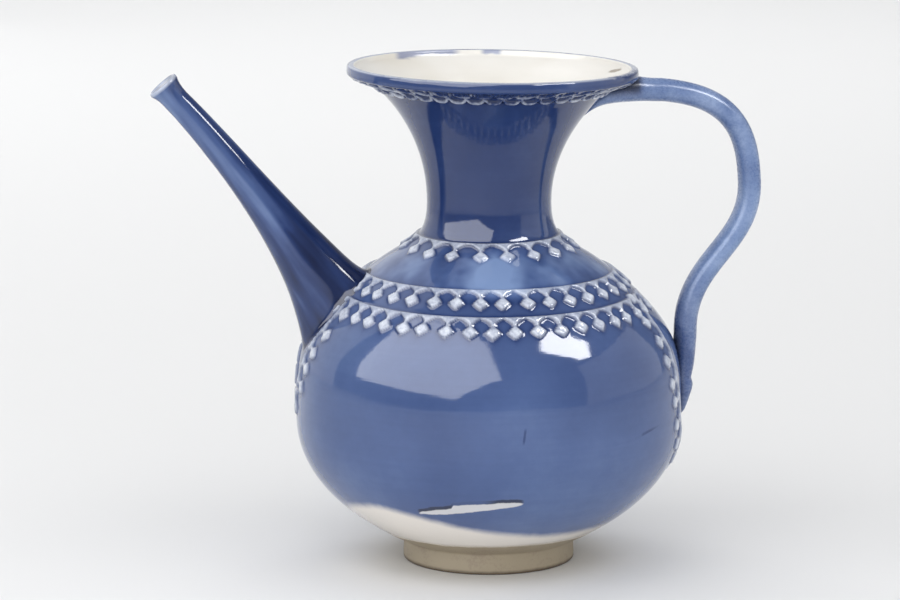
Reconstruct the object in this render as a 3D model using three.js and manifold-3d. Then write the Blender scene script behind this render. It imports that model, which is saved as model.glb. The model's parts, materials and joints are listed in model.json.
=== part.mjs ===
// A glazed ceramic ewer: a round belly on a foot ring, a flaring neck, a long spout and a strap
// handle, with garlands of small pendants laid on the shoulder. Millimetres and degrees, +Z up.
// The spout points along -X and the handle along +X. The body's axis is x = 0 until the end,
// where the whole is moved so that the middle of its bounding box's underside is the origin.

import * as THREE from 'three';
import { mergeVertices } from 'three/addons/utils/BufferGeometryUtils.js';
import Module from 'manifold-3d';

const wasm = await Module();
wasm.setup();

// Foot ring
const footRadius = 32.75;
const footHeight = 8;
const footRingWidth = 6.5;
const footRecess = 5;
const footChamfer = 0.8;

// Levels of the outer wall: the radius, and the rise above the level below
const bellyRadius = 73.8;
const bellyRise = 47.3;
const shoulderRadius = 60.5;
const shoulderRise = 44.3;
const neckRootRadius = 38.2;
const neckRootRise = 18.4;
const waistRadius = 23.7;
const waistRise = 20.2;
const flareRadius = 44.5;
const flareRise = 44;
const lipSeamRadius = 53.2;
const lipSeamRise = 3.6;
const lipRadius = 55.2;
const lipBand = 4.2;

// Slopes of the outer wall from the horizontal at those levels
const footSlope = 24;
const shoulderSlope = 48;
const neckRootSlope = 32;
const flareSlope = 42;
const lipSeamSlope = 20;

// Clay thickness
const wallThickness = 4.2;
const floorThickness = 5;
const floorFlatShare = 0.7;
const lipThickness = 3;
const lipRound = 0.8;

// The mouth was thrown a little off the axis and leans towards the handle
const mouthDrift = 1.25;
const mouthLean = 0.9;

// Spout
const spoutReach = 123.6;
const spoutTipHeight = 184.7;
const mouthpieceRadius = 6.05;
const mouthpieceLength = 9.9;
const spoutPitch = 49.5;
const throatRadius = 5.05;
const spoutRootTop = 112.5;
const spoutRootBottom = 83.5;
const spoutRootFlatness = 0.35;
const spoutRootTaper = 0.9;
const spoutWall = 1.7;
const spoutBore = 7.5;

// Handle
const handleThickness = 8.4;
const handleWidth = 12;
const handleReach = 100.4;
const handleOuterHeight = 146.4;
const handleTopHeight = 180;
const handleBottomHeight = 55.5;
const handleLandingHeight = 85.8;
const handleGap = 1.6;
const handlePinch = 1.1;
const handlePinchWidth = 3;
const handlePinchHeight = 69;
const handleEndFlatness = 0.55;
const handleEndTaper = 0.35;

// Relief: how far it stands proud, how deep it is rooted, and the line that pendants hang from
const reliefProud = 0.9;
const reliefRoot = 0.8;
const lineWidth = 1.6;
const wedgeLength = 5.6;
const lozengeWidth = 5.8;
const lozengeLength = 6.2;
const pendantLength = 10.4;

// Garlands: the line's height against the neck's root, how far it sags, and its pendants
const collarAbove = 7.7;
const collarPendants = 19;
const upperBelow = 6.4;
const upperPendants = 38;
const lowerBelow = 13.7;
const lowerSag = 1.8;
const pendantPitch = 7.9;
const handleDropWidth = 54;
const handleDropLength = 66;
const spoutDropWidth = 36;
const spoutDropLength = 42;

// Leaf tips under the lip
const leafPitch = 7.2;
const leafLength = 8.5;
const leafBelow = 1.4;

// Fineness of the faceting
const bodySides = 36;
const cavitySides = 24;
const spoutSides = 12;
const spoutSteps = 10;
const handleSides = 10;
const handleSteps = 22;
const routeSamples = 240;
const shortestEdge = 0.85;
const tidyPasses = 12;

const radians = THREE.MathUtils.degToRad;
const { lerp, smoothstep } = THREE.MathUtils;

// Heights of the levels, added up from the table
const bellyHeight = footHeight + bellyRise;
const shoulderHeight = bellyHeight + shoulderRise;
const neckRootHeight = shoulderHeight + neckRootRise;
const waistHeight = neckRootHeight + waistRise;
const flareHeight = waistHeight + flareRise;
const lipSeamHeight = flareHeight + lipSeamRise;
const rimHeight = lipSeamHeight + lipBand;

// The outer wall runs through its levels as one smooth curve. Each level has its slope, and how
// far the curve keeps to that slope after it (leave) and before it (arrive), as shares of a span.
const levels = [
  { r: footRadius, z: footHeight, inward: footSlope, leave: 0.25, rows: 5 },
  { r: bellyRadius, z: bellyHeight, inward: 90, arrive: 0.41, leave: 0.55, rows: 5 },
  { r: shoulderRadius, z: shoulderHeight, inward: 180 - shoulderSlope, arrive: 0.37, leave: 0.29, rows: 3 },
  { r: neckRootRadius, z: neckRootHeight, inward: 180 - neckRootSlope, arrive: 0.29, leave: 0.44, rows: 3 },
  { r: waistRadius, z: waistHeight, inward: 90, arrive: 0.53, leave: 0.45, rows: 4 },
  { r: flareRadius, z: flareHeight, inward: flareSlope, arrive: 0.21, leave: 0.3, rows: 2 },
  { r: lipSeamRadius, z: lipSeamHeight, inward: lipSeamSlope, arrive: 0.3, rows: 1 },
];

function spanBetween(lower, upper) {
  const from = new THREE.Vector2(lower.r, lower.z);
  const to = new THREE.Vector2(upper.r, upper.z);
  const chord = from.distanceTo(to);
  const ahead = (level, reach) => new THREE.Vector2(
    Math.cos(radians(level.inward)),
    Math.sin(radians(level.inward)),
  ).multiplyScalar(reach * chord);
  const first = from.clone().add(ahead(lower, lower.leave));
  const second = to.clone().sub(ahead(upper, upper.arrive));
  return new THREE.CubicBezierCurve(from, first, second, to);
}

const wall = new THREE.CurvePath();
for (let i = 1; i < levels.length; i += 1) {
  wall.add(spanBetween(levels[i - 1], levels[i]));
}
const wallLength = wall.getLength();

// The distance along the wall at a height, which only ever rises from the foot to the lip
function alongAt(height) {
  let low = 0;
  let high = wallLength;
  for (let step = 0; step < 30; step += 1) {
    const middle = (low + high) / 2;
    if (wall.getPoint(middle / wallLength).y < height) low = middle;
    else high = middle;
  }
  return low;
}

function radiusAt(height) {
  return wall.getPoint(alongAt(height) / wallLength).x;
}

// The wall's point and outward normal at a turn about the axis and a distance along the wall
function onWall(turn, along) {
  const share = THREE.MathUtils.clamp(along / wallLength, 0.0005, 0.9995);
  const at = wall.getPoint(share);
  const rise = wall.getTangent(share);
  const outward = new THREE.Vector3(Math.cos(turn), Math.sin(turn), 0);
  const point = outward.clone().multiplyScalar(at.x).setZ(at.y);
  const normal = outward.multiplyScalar(rise.y).setZ(-rise.x).normalize();
  return { point: lean(point), normal, radius: at.x };
}

// Above the waist the thrown body drifts and leans towards the handle
function lean(point) {
  const share = smoothstep(point.z, waistHeight, rimHeight);
  point.z -= point.x * Math.tan(radians(mouthLean)) * share;
  point.x += mouthDrift * share;
  return point;
}

// Solids. A shell may be wound either way: one that comes out with a negative volume is turned.
function solidFrom(positions, triangles) {
  const volume = triangles.reduce((sum, [a, b, c]) => {
    const cross = new THREE.Vector3().crossVectors(positions[b], positions[c]);
    return sum + positions[a].dot(cross);
  }, 0);
  const wound = volume < 0 ? triangles.map(([a, b, c]) => [a, c, b]) : triangles;
  const vertProperties = new Float32Array(positions.flatMap((p) => [p.x, p.y, p.z]));
  const triVerts = new Uint32Array(wound.flat());
  return new wasm.Manifold(new wasm.Mesh({ numProp: 3, vertProperties, triVerts }));
}

// A skin over rings that all have as many points: closed at both ends, or joined end to end
function loft(rings, joined = false) {
  const sides = rings[0].length;
  const positions = rings.flat();
  const triangles = [];
  const bands = joined ? rings.length : rings.length - 1;
  for (let ring = 0; ring < bands; ring += 1) {
    for (let side = 0; side < sides; side += 1) {
      const next = (ring + 1) % rings.length;
      const a = ring * sides + side;
      const b = ring * sides + (side + 1) % sides;
      const c = next * sides + (side + 1) % sides;
      const d = next * sides + side;
      triangles.push([a, b, c], [a, c, d]);
    }
  }
  if (!joined) {
    const last = (rings.length - 1) * sides;
    for (let side = 1; side < sides - 1; side += 1) {
      triangles.push([0, side + 1, side], [last, last + side, last + side + 1]);
    }
  }
  return solidFrom(positions, triangles);
}

function turned(outline, sides) {
  const geometry = new THREE.LatheGeometry(outline, sides);
  geometry.rotateX(Math.PI / 2);
  geometry.deleteAttribute('normal');
  geometry.deleteAttribute('uv');
  const merged = mergeVertices(geometry, 0.001);
  const at = merged.getAttribute('position');
  const positions = [];
  for (let i = 0; i < at.count; i += 1) {
    positions.push(lean(new THREE.Vector3().fromBufferAttribute(at, i)));
  }
  const index = merged.getIndex().array;
  const triangles = [];
  for (let i = 0; i < index.length; i += 3) {
    const corners = [index[i], index[i + 1], index[i + 2]];
    if (new Set(corners).size === 3) triangles.push(corners);
  }
  return solidFrom(positions, triangles);
}

const flat = (r, z) => new THREE.Vector2(r, z);

function wallOutline(inset) {
  const points = [];
  for (let i = 1; i < levels.length; i += 1) {
    const curve = wall.curves[i - 1];
    const { rows } = levels[i - 1];
    for (let row = i === 1 ? 0 : 1; row <= rows; row += 1) {
      const at = curve.getPoint(row / rows);
      const rise = curve.getTangent(row / rows);
      points.push(flat(at.x - rise.y * inset, at.y + rise.x * inset));
    }
  }
  return points;
}

function body() {
  const ringInner = footRadius - footRingWidth;
  return turned([
    flat(0, footRecess),
    flat(ringInner - footChamfer, footRecess),
    flat(ringInner, footRecess - footChamfer),
    flat(ringInner, footChamfer),
    flat(ringInner + footChamfer, 0),
    flat(footRadius - footChamfer, 0),
    flat(footRadius, footChamfer),
    ...wallOutline(0),
    flat(lipRadius - lipRound / 2, rimHeight - 2 * lipRound),
    flat(lipRadius - lipRound, rimHeight - lipRound / 2),
    flat(lipRadius - 2 * lipRound, rimHeight),
    flat(0, rimHeight),
  ], bodySides);
}

function cavity() {
  const floor = footRecess + floorThickness;
  const innerRim = lipRadius - lipThickness;
  const above = lipThickness;
  const inner = wallOutline(wallThickness).filter((p) => p.y > floor && p.y < lipSeamHeight);
  const belowRim = (p) => p.y < flareHeight - wallThickness || p.x < innerRim - lipRound;
  return turned([
    flat(0, floor),
    flat(inner[0].x * floorFlatShare, floor),
    ...inner.filter(belowRim),
    flat(innerRim - lipRound / 2, rimHeight - lipBand / 2),
    flat(innerRim + lipRound / 2, rimHeight),
    flat(innerRim + lipRound / 2, rimHeight + above),
    flat(0, rimHeight + above),
  ], cavitySides);
}

// Spout: an upper and a lower edge in the plane y = 0, with an oval across them at each station
const point3 = (x, z) => new THREE.Vector3(x, 0, z);
const spoutAxis = point3(-Math.cos(radians(spoutPitch)), Math.sin(radians(spoutPitch)));
const spoutAcross = point3(Math.sin(radians(spoutPitch)), Math.cos(radians(spoutPitch)));
const spoutTip = point3(-spoutReach, spoutTipHeight);
const throat = spoutTip.clone().addScaledVector(spoutAxis, -mouthpieceLength);
const throatUpper = throat.clone().addScaledVector(spoutAcross, throatRadius);
const throatLower = throat.clone().addScaledVector(spoutAcross, -throatRadius);
const rootUpper = point3(-radiusAt(spoutRootTop), spoutRootTop);
const rootLower = point3(-radiusAt(spoutRootBottom), spoutRootBottom);

const alongEdge = (from, to, x, z) => point3(lerp(from.x, to.x, x), lerp(from.z, to.z, z));
const upperEdge = new THREE.CubicBezierCurve3(
  throatUpper,
  alongEdge(throatUpper, rootUpper, 0.29, 0.21),
  alongEdge(throatUpper, rootUpper, 0.76, 0.92),
  rootUpper,
);
const lowerEdge = new THREE.CubicBezierCurve3(
  throatLower,
  alongEdge(throatLower, rootLower, 0.45, 0.29),
  alongEdge(throatLower, rootLower, 0.88, 0.65),
  rootLower,
);

// From the mouth down to the root: the middle, the direction across and the two half sizes
function spoutStations() {
  const stations = [];
  for (const share of [1, 0.55]) {
    const centre = throat.clone().addScaledVector(spoutAxis, mouthpieceLength * share);
    const half = lerp(throatRadius, mouthpieceRadius, share ** 3);
    stations.push({ centre, across: spoutAcross, half, side: half });
  }
  for (let step = 0; step <= spoutSteps; step += 1) {
    const t = step / spoutSteps;
    const upper = upperEdge.getPoint(t);
    const lower = lowerEdge.getPoint(t);
    const across = upper.clone().sub(lower);
    const half = across.length() / 2;
    const centre = upper.add(lower).multiplyScalar(0.5);
    const side = half * (1 - spoutRootFlatness * t ** 3);
    stations.push({ centre, across: across.normalize(), half, side });
  }
  return stations;
}

function oval(centre, across, half, side, sides) {
  const ring = [];
  for (let i = 0; i < sides; i += 1) {
    const angle = (i / sides) * 2 * Math.PI;
    ring.push(centre.clone()
      .addScaledVector(across, half * Math.cos(angle))
      .add(new THREE.Vector3(0, side * Math.sin(angle), 0)));
  }
  return ring;
}

const stations = spoutStations();
const root = stations[stations.length - 1];
const intoBody = point3(Math.abs(root.across.z), -Math.abs(root.across.x));

function spout() {
  const rings = stations.map((s) => oval(s.centre, s.across, s.half, s.side, spoutSides));
  const buried = root.centre.clone().addScaledVector(intoBody, wallThickness / 2);
  const half = root.half * spoutRootTaper;
  rings.push(oval(buried, root.across, half, root.side * spoutRootTaper, spoutSides));
  return loft(rings);
}

function spoutChannel() {
  const sides = spoutSides - 4;
  const narrowed = (half) => Math.min(half - spoutWall, spoutBore);
  const rings = stations.map((s) => {
    const half = narrowed(s.half);
    return oval(s.centre, s.across, half, Math.min(half, s.side - spoutWall), sides);
  });
  const above = stations[0].centre.clone().addScaledVector(spoutAxis, spoutWall);
  const mouthBore = narrowed(mouthpieceRadius);
  rings.unshift(oval(above, spoutAcross, mouthBore, mouthBore, sides));
  const within = root.centre.clone().addScaledVector(intoBody, 3 * wallThickness);
  rings.push(oval(within, root.across, spoutBore, spoutBore, sides));
  return loft(rings);
}

// Handle: out level from under the lip, over and down in a bow, then along the belly
const handleRoot = point3(radiusAt(handleTopHeight) + mouthDrift - wallThickness / 2, handleTopHeight);
const handleOuter = point3(handleReach, handleOuterHeight);
const landingHalf = handleThickness / 2;
const handleLanding = point3(
  radiusAt(handleLandingHeight) + handleGap + landingHalf,
  handleLandingHeight,
);
const handleEnd = point3(radiusAt(handleBottomHeight), handleBottomHeight);
const endLift = point3(handleEnd.x + 0.6 * landingHalf, (handleLanding.z + handleEnd.z) / 2);

const handleLine = new THREE.CurvePath();
handleLine.add(new THREE.CubicBezierCurve3(
  handleRoot,
  alongEdge(handleRoot, handleOuter, 0.78, -0.08),
  alongEdge(handleRoot, handleOuter, 0.975, 0.3),
  handleOuter,
));
handleLine.add(new THREE.CubicBezierCurve3(
  handleOuter,
  alongEdge(handleOuter, handleLanding, -0.11, 0.45),
  alongEdge(handleOuter, handleLanding, 1.03, 0.52),
  handleLanding,
));
handleLine.add(new THREE.QuadraticBezierCurve3(handleLanding, endLift, handleEnd));

function handle() {
  const rings = [];
  for (let step = 0; step <= handleSteps; step += 1) {
    const t = step / handleSteps;
    const centre = handleLine.getPoint(t);
    const forward = handleLine.getTangent(t);
    const across = point3(-forward.z, forward.x);
    const low = smoothstep(-centre.z, -handleLandingHeight, -handleBottomHeight);
    const pinch = Math.exp(-(((centre.z - handlePinchHeight) / handlePinchWidth) ** 2));
    const half = landingHalf * (1 - handleEndFlatness * low) - (handlePinch * pinch) / 2;
    const side = (handleWidth / 2) * (1 - handleEndTaper * low);
    rings.push(oval(centre, across, half, side, handleSides));
  }
  return loft(rings);
}

// Relief. A line on the wall is a list of places, each with the heading that the line has there:
// 0 runs level about the axis, and -90 degrees runs straight down.
function placesAlong(route, count, first = 0, last = count - 1) {
  const fine = [];
  const lengths = [0];
  for (let i = 0; i <= routeSamples; i += 1) {
    const at = route(i / routeSamples);
    at.point = onWall(at.turn, at.along).point;
    if (i > 0) lengths.push(lengths[i - 1] + at.point.distanceTo(fine[i - 1].point));
    fine.push(at);
  }
  const places = [];
  for (let i = first; i <= last; i += 1) {
    const goal = (i / count) * lengths[routeSamples];
    const reached = lengths.findIndex((length) => length >= goal);
    const after = reached < 0 ? routeSamples : Math.max(1, reached);
    const share = (goal - lengths[after - 1]) / (lengths[after] - lengths[after - 1]);
    const from = fine[after - 1];
    const to = fine[after];
    const along = lerp(from.along, to.along, share);
    const across = (to.turn - from.turn) * onWall(from.turn, along).radius;
    const heading = Math.atan2(to.along - from.along, across);
    places.push({ turn: lerp(from.turn, to.turn, share), along, heading });
  }
  return places;
}

function routeLength(route) {
  let total = 0;
  for (let i = 0; i < routeSamples; i += 1) {
    const from = route(i / routeSamples);
    const to = route((i + 1) / routeSamples);
    total += onWall(from.turn, from.along).point.distanceTo(onWall(to.turn, to.along).point);
  }
  return total;
}

// A point of a motif: u runs with the line, v hangs from it on the right-hand side
function besideLine(place, u, v) {
  const { radius } = onWall(place.turn, place.along);
  const across = u * Math.cos(place.heading) + v * Math.sin(place.heading);
  const up = u * Math.sin(place.heading) - v * Math.cos(place.heading);
  return onWall(place.turn + across / radius, place.along + up);
}

// A low stud: a pyramid over an outline given where it leaves the wall, with its peak at a point.
// The outline is widened about the peak so that the stud is rooted in the clay.
function stud(outline, peak, place) {
  const spread = (reliefProud + reliefRoot) / reliefProud;
  const around = outline.map(([u, v]) => {
    const spot = besideLine(place, lerp(peak[0], u, spread), lerp(peak[1], v, spread));
    return spot.point.addScaledVector(spot.normal, -reliefRoot);
  });
  const top = besideLine(place, peak[0], peak[1]);
  const positions = [...around, top.point.addScaledVector(top.normal, reliefProud)];
  const count = around.length;
  const triangles = [];
  for (let i = 0; i < count; i += 1) triangles.push([i, (i + 1) % count, count]);
  for (let i = 1; i < count - 1; i += 1) triangles.push([0, i + 1, i]);
  return solidFrom(positions, triangles);
}

// A raised band along a closed line, whose lower edge comes to a point wherever a place hangs
function band(places, edge, point) {
  const rings = places.map((place) => {
    const above = besideLine(place, 0, -edge);
    const crest = besideLine(place, 0, 0);
    const below = besideLine(place, 0, place.hangs ? point : edge);
    return [
      above.point.addScaledVector(above.normal, -reliefRoot),
      crest.point.addScaledVector(crest.normal, reliefProud),
      below.point.addScaledVector(below.normal, -reliefRoot),
    ];
  });
  return loft(rings, true);
}

// The lozenge that hangs from each point of a garland's band
function lozenge(place) {
  const middle = pendantLength - lozengeLength / 2;
  const outline = [
    [lozengeWidth / 2, middle],
    [0, pendantLength],
    [-lozengeWidth / 2, middle],
    [0, pendantLength - lozengeLength],
  ];
  return stud(outline, [0, middle], place);
}

const level = (along) => (t) => ({ turn: (t * 2 - 1) * Math.PI, along });

// The lower garland swags between the spout and the handle, and drops round the root of each
const dropShares = [[0.6, 0], [0.96, 0.18], [1, 0.37], [0.91, 0.58], [0.69, 0.8], [0.38, 0.94]];
const corner = alongAt(neckRootHeight - lowerBelow);
const cornerShare = dropShares[0][0];

function drop(middle, width, length) {
  const half = dropShares.map(([x, y]) => flat(-x * width / 2, y * length));
  const mirrored = half.map((p) => flat(-p.x, p.y)).reverse();
  const curve = new THREE.SplineCurve([...half, flat(0, length), ...mirrored]);
  return (t) => {
    const at = curve.getPointAt(t);
    const along = corner - at.y;
    return { turn: middle + at.x / onWall(0, along).radius, along };
  };
}

function swag(fromTurn, toTurn) {
  return (t) => ({ turn: lerp(fromTurn, toTurn, t), along: corner - lowerSag * 4 * t * (1 - t) });
}

const cornerRadius = onWall(0, corner).radius;
const handleCorner = (cornerShare * handleDropWidth / 2) / cornerRadius;
const spoutCorner = (cornerShare * spoutDropWidth / 2) / cornerRadius;
const lowerGarland = [
  swag(spoutCorner - Math.PI, -handleCorner),
  drop(0, handleDropWidth, handleDropLength),
  swag(handleCorner, Math.PI - spoutCorner),
  drop(Math.PI, spoutDropWidth, spoutDropLength),
];

// Places at every half pitch. About the axis every other one hangs; a swag also hangs at both its
// corners; a drop leaves out its corners, and nothing hangs within a pitch of them.
function aroundPlaces(route, count) {
  return placesAlong(route, 2 * count).map((place, i) => ({ ...place, hangs: i % 2 === 1 }));
}

function swagPlaces(route) {
  const count = Math.round(routeLength(route) / pendantPitch);
  const places = placesAlong(route, 2 * count, 0, 2 * count);
  return places.map((place, i) => ({ ...place, hangs: i % 2 === 0 }));
}

function dropPlaces(route) {
  const count = Math.round(routeLength(route) / pendantPitch);
  const places = placesAlong(route, 2 * count, 1, 2 * count - 1);
  const last = places.length - 1;
  return places.map((place, i) => ({ ...place, hangs: i % 2 === 0 && i > 0 && i < last }));
}

function garland(places) {
  const hanging = places.filter((place) => place.hangs);
  return [band(places, lineWidth, wedgeLength), ...hanging.map(lozenge)];
}

function relief() {
  const collar = level(alongAt(neckRootHeight + collarAbove));
  const upper = level(alongAt(neckRootHeight - upperBelow));
  const [frontSwag, handleDrop, backSwag, spoutDrop] = lowerGarland;
  return [
    ...garland(aroundPlaces(collar, collarPendants)),
    ...garland(aroundPlaces(upper, upperPendants)),
    ...garland([
      ...swagPlaces(frontSwag),
      ...dropPlaces(handleDrop),
      ...swagPlaces(backSwag),
      ...dropPlaces(spoutDrop),
    ]),
  ];
}

// A row of leaf tips under the lip
function leafTips() {
  const route = level(wallLength - leafBelow);
  const count = Math.round(routeLength(route) / leafPitch);
  return band(aroundPlaces(route, count), leafBelow, leafLength);
}

function ewer() {
  const clay = [spout(), handle(), ...relief(), leafTips()];
  const whole = clay.reduce((sum, part) => sum.add(part), body());
  return whole.subtract(cavity()).subtract(spoutChannel());
}

// Cuts leave very short edges. Each is closed up where its ends share just two neighbours, which
// keeps the skin closed.
function tidied(positions, triangles) {
  let kept = triangles;
  for (let pass = 0; pass < tidyPasses; pass += 1) {
    const near = new Map();
    const join = (a, others) => near.set(a, new Set([...(near.get(a) ?? []), ...others]));
    for (const [a, b, c] of kept) {
      join(a, [b, c]);
      join(b, [c, a]);
      join(c, [a, b]);
    }
    const into = new Map();
    const touched = new Set();
    for (const [a, b] of kept.flatMap(([i, j, k]) => [[i, j], [j, k], [k, i]])) {
      const short = positions[a].distanceTo(positions[b]) < shortestEdge;
      if (short && !touched.has(a) && !touched.has(b)) {
        const shared = [...near.get(a)].filter((n) => near.get(b).has(n));
        if (shared.length === 2) {
          into.set(b, a);
          for (const n of [a, b, ...near.get(a), ...near.get(b)]) touched.add(n);
        }
      }
    }
    kept = kept.map((corners) => corners.map((n) => into.get(n) ?? n))
      .filter((corners) => new Set(corners).size === 3);
  }
  return kept;
}

function geometryOf(solid) {
  const mesh = solid.getMesh();
  const positions = [];
  for (let i = 0; i < mesh.vertProperties.length; i += 3) {
    positions.push(new THREE.Vector3().fromArray(mesh.vertProperties, i));
  }
  const triangles = [];
  for (let i = 0; i < mesh.triVerts.length; i += 3) {
    triangles.push([...mesh.triVerts.subarray(i, i + 3)]);
  }
  const geometry = new THREE.BufferGeometry();
  geometry.setFromPoints(tidied(positions, triangles).flat().map((n) => positions[n]));
  geometry.computeBoundingBox();
  const { min, max } = geometry.boundingBox;
  geometry.translate(-(min.x + max.x) / 2, -(min.y + max.y) / 2, -min.z);
  const welded = mergeVertices(geometry, 0.00001);
  welded.computeVertexNormals();
  return welded;
}

const glaze = new THREE.MeshStandardMaterial({ color: 0x4a5f9c, roughness: 0.12, metalness: 0 });
const piece = new THREE.Mesh(geometryOf(ewer()), glaze);
piece.name = 'ewer';

const group = new THREE.Group();
group.add(piece);

export default group;
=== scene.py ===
# %% [markdown]
# # A blue-glazed ewer
# The real thing is one fired piece: a thrown body on a foot ring, with a spout, a strap handle
# and rows of little pendants pressed on while the clay was soft. So it is one object here too.
# The frame gives its place and size, and this script makes the fine surface over it.

# %% Load the frame
import json
import math

import bmesh
import bpy
import numpy as np
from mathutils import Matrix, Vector
from mathutils.geometry import interpolate_bezier

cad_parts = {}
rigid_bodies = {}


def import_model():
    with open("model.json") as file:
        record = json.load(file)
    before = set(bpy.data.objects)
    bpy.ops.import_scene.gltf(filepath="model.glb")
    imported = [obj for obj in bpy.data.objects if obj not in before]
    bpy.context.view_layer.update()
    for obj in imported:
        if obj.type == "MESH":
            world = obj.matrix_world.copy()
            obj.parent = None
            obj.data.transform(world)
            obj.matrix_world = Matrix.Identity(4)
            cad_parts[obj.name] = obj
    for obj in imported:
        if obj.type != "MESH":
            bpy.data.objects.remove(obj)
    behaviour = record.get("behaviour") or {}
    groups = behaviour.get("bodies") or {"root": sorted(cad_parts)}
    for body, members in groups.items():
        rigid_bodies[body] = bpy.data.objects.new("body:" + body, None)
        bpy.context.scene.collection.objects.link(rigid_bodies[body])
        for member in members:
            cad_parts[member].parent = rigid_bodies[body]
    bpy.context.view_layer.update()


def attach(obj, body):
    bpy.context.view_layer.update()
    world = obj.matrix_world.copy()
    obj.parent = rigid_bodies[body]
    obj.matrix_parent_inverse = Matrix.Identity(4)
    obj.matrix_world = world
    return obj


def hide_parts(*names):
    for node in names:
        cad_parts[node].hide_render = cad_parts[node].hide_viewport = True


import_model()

# %% [markdown]
# Clay is measured in millimetres and Blender works in metres, so lengths are worked out in
# millimetres and turned into metres only where they go into a mesh. The pot's own axis stands a
# little towards the handle from the middle of the whole.

# %% Units and the pot's axis
MM = 0.001
AXIS_X = 11.74
AXIS = np.array([AXIS_X, 0, 0])


def bare_start():
    """Nothing selected, object mode: a clean start for the next operator."""
    if bpy.context.object and bpy.context.object.mode != "OBJECT":
        bpy.ops.object.mode_set(mode="OBJECT")
    bpy.ops.object.select_all(action="DESELECT")


def points_of(piece):
    """A piece's points in millimetres, one row for each."""
    places = np.empty(len(piece.data.vertices) * 3)
    piece.data.vertices.foreach_get("co", places)
    return places.reshape(-1, 3) / MM


def place_points(piece, places):
    """Put a piece's points at places given in millimetres."""
    piece.data.vertices.foreach_set("co", (np.asarray(places) * MM).ravel())
    piece.data.update()


def eased(value, low, high):
    """0 at low and 1 at high, with a soft start and a soft end."""
    share = np.clip((value - low) / (high - low), 0.0, 1.0)
    return share * share * (3.0 - 2.0 * share)


def turn_from(turn, middle):
    """How far a turn is from a middle one, the short way round, in radians."""
    return (turn - middle + math.pi) % (2 * math.pi) - math.pi


print("Pot's axis at x =", AXIS_X, "mm")

# %% [markdown]
# ## The camera
# The photograph was taken with a long lens, a little above the rim and a touch from the spout's
# side. The camera goes in first, so that everything after it can be judged through it.

# %% Camera
CAMERA_PLACE = (-191.9, -1536.6, 378.0)
CAMERA_DOWN = 10.17
CAMERA_TURN = -7.0
LENS = 164.9
SENSOR_WIDTH = 36.0

camera_data = bpy.data.cameras.new("camera")
camera_data.lens = LENS
camera_data.sensor_width = SENSOR_WIDTH
camera = bpy.data.objects.new("camera", camera_data)
camera.location = Vector(CAMERA_PLACE) * MM
camera.rotation_euler = (math.radians(90 - CAMERA_DOWN), 0, math.radians(CAMERA_TURN))
bpy.context.scene.collection.objects.link(camera)
bpy.context.scene.camera = camera
print("Camera at", tuple(round(v, 3) for v in camera.location))

# %% [markdown]
# ## The thrown body
# A pot from the wheel is a profile turned about its axis. The profile runs through a few levels,
# each with a radius, a height and a slope, joined by Bezier curves, so a change to one level keeps
# the whole wall smooth. It could be lathed with a Screw modifier. Spin is used, because its result
# can be worked on in edit mode straight away.

# %% Levels of the outer wall
FOOT_RADIUS = 32.75
FOOT_HEIGHT = 8.0
RIM_HEIGHT = 190.0
WALL = 4.2
# Radius, height, slope in degrees from the outward horizontal, the shares of the chord by which
# the curve arrives and leaves, and the rows to the next level
LEVELS = [
    (FOOT_RADIUS, FOOT_HEIGHT, 24, 0.0, 0.25, 28),
    (73.8, 55.3, 90, 0.41, 0.55, 20),
    (60.5, 99.6, 132, 0.37, 0.29, 13),
    (38.2, 118.0, 148, 0.29, 0.44, 11),
    (23.7, 138.2, 90, 0.53, 0.45, 22),
    (44.5, 182.2, 42, 0.21, 0.3, 5),
    (53.2, 185.8, 20, 0.3, 0.0, 0),
]


def span(lower, upper, rows):
    """One smooth stretch of the wall, between two levels."""
    start = Vector((lower[0], lower[1], 0))
    end = Vector((upper[0], upper[1], 0))
    chord = (end - start).length

    def heading(level, reach):
        angle = math.radians(level[2])
        return Vector((math.cos(angle), math.sin(angle), 0)) * reach * chord

    first = start + heading(lower, lower[4])
    second = end - heading(upper, upper[3])
    return interpolate_bezier(start, first, second, end, rows + 1)


def wall_points(scale):
    """The outer wall from the foot to the lip's seam, with scale times the rows."""
    found = []
    for lower, upper in zip(LEVELS, LEVELS[1:]):
        found += [(p.x, p.y) for p in span(lower, upper, lower[5] * scale)[:-1]]
    found.append(LEVELS[-1][:2])
    return np.array(found)


FINENESS = 24

fine_wall = wall_points(FINENESS)
fine_steps = np.hypot(*np.diff(fine_wall, axis=0).T)
fine_along = np.concatenate([[0.0], np.cumsum(fine_steps)])
fine_slope = np.gradient(fine_wall, fine_along, axis=0)
WALL_LENGTH = fine_along[-1]
print("Wall from foot to lip is", round(WALL_LENGTH, 1), "mm long")

# %% [markdown]
# Two measures place everything on the wall: the turn about the axis and the distance along the
# wall from the foot. The mouth of this pot sits a little off and leans towards the handle, as the
# photograph shows, so the last step of each placement is that small lean.

# %% Places on the wall
WAIST_HEIGHT = LEVELS[4][1]
MOUTH_DRIFT = 1.25
MOUTH_LEAN = math.radians(0.9)


def along_at(height):
    """The distance along the wall at a height."""
    return np.interp(height, fine_wall[:, 1], fine_along)


def wall_radius(along):
    """The wall's radius at a distance along it."""
    return np.interp(along, fine_along, fine_wall[:, 0])


def leaned(places):
    """Places moved by the mouth's lean and drift, which grow from the waist to the rim."""
    share = eased(places[..., 2], WAIST_HEIGHT, RIM_HEIGHT)
    moved = np.array(places)
    moved[..., 2] -= places[..., 0] * math.tan(MOUTH_LEAN) * share
    moved[..., 0] += MOUTH_DRIFT * share
    return moved


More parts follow.
